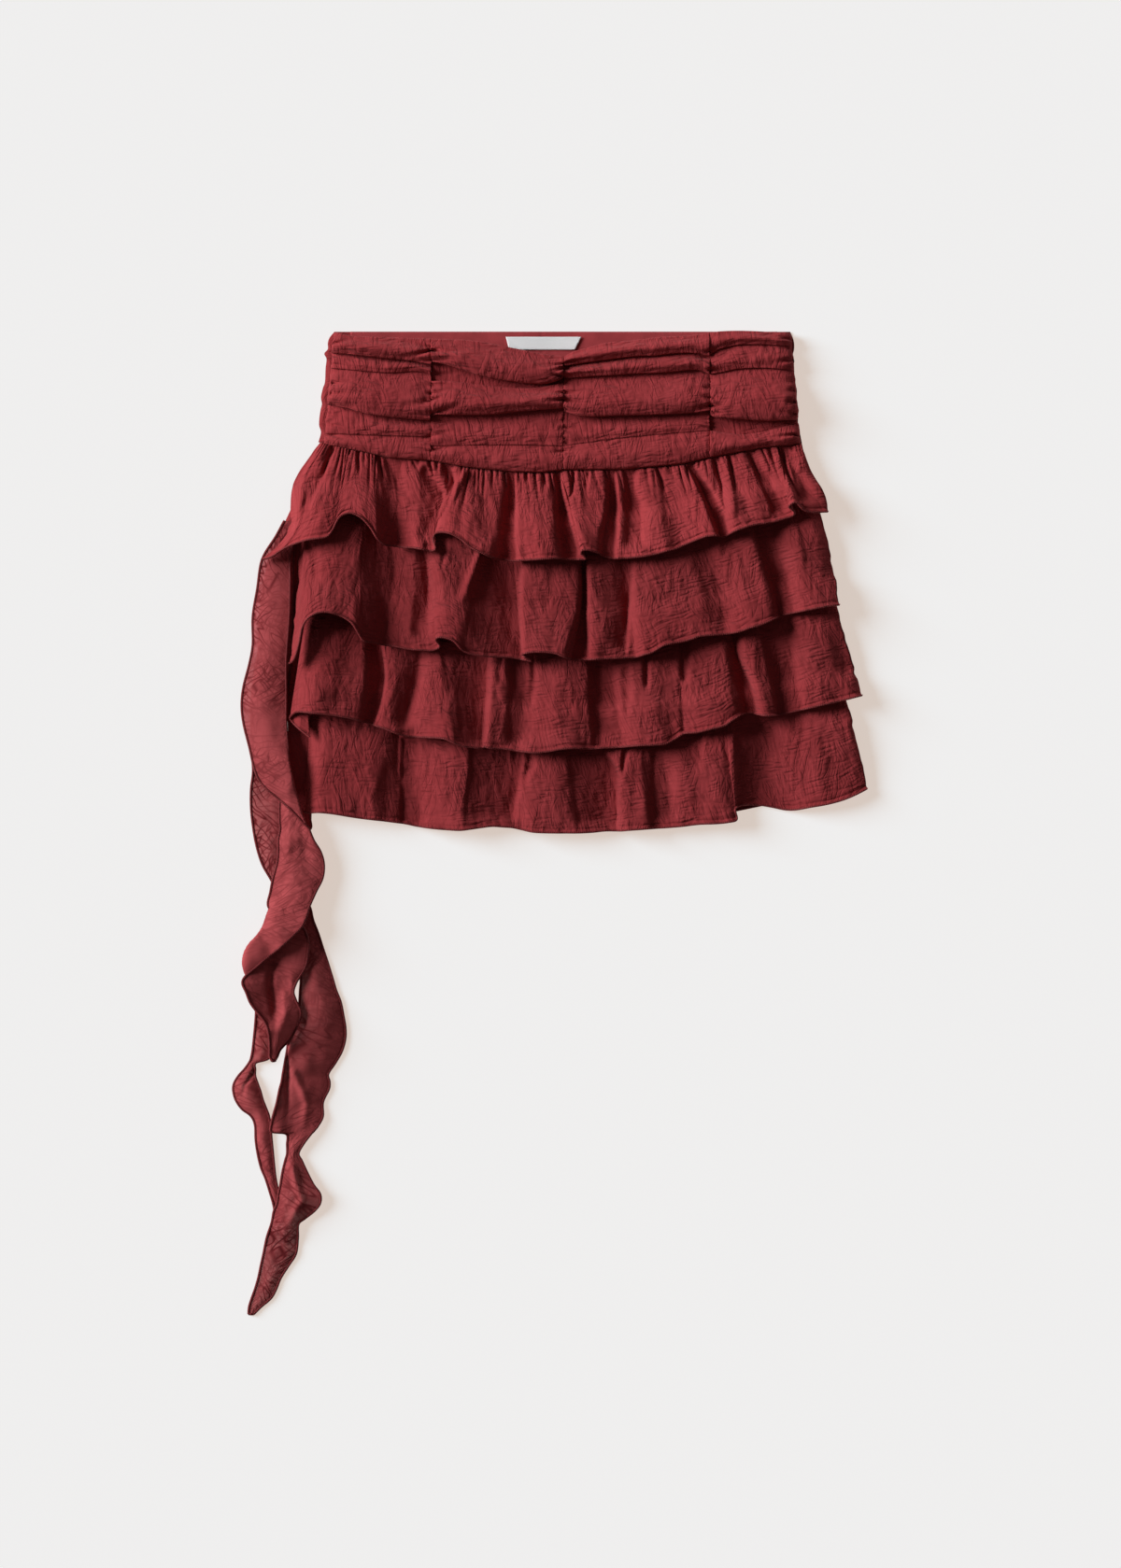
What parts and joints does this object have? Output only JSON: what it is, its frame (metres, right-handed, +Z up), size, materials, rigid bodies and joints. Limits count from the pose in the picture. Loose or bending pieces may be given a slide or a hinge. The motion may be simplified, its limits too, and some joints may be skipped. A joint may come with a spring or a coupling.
{
  "type": "tiered ruffle skirt",
  "caption": "Short skirt of crinkled gauze laid flat, with a ruched yoke, tiers of gathered ruffles with rolled hems, and loose side ties.",
  "frame": {"origin": "on the surface the skirt lies on, under the middle of its front and 190 mm below the waist's top edge", "axes": "+X across the skirt, from the side with the ties to the other; +Y from the hem up to the waist; +Z up from the surface"},
  "size_m": [0.482, 0.7467, 0.0288],
  "materials": {
    "gauze": "crinkled, matt",
    "gauze_inner": "matt",
    "label": "smooth"
  },
  "bodies": {
    "root": {"yoke_side_left": "gauze", "yoke_front_left": "gauze", "yoke_front_right": "gauze", "yoke_side_right": "gauze", "yoke_back": "gauze_inner", "back_facing": "gauze_inner", "label": "label", "base_front": "gauze_inner", "base_back": "gauze_inner", "ruffle_1_front": "gauze", "ruffle_2_front": "gauze", "ruffle_3_front": "gauze", "ruffle_4_front": "gauze", "ruffle_1_back": "gauze_inner", "ruffle_2_back": "gauze_inner", "ruffle_3_back": "gauze_inner", "ruffle_4_back": "gauze_inner", "tie_short": "gauze", "tie_long": "gauze", "tie_narrow": "gauze"}
  },
  "joints": []
}
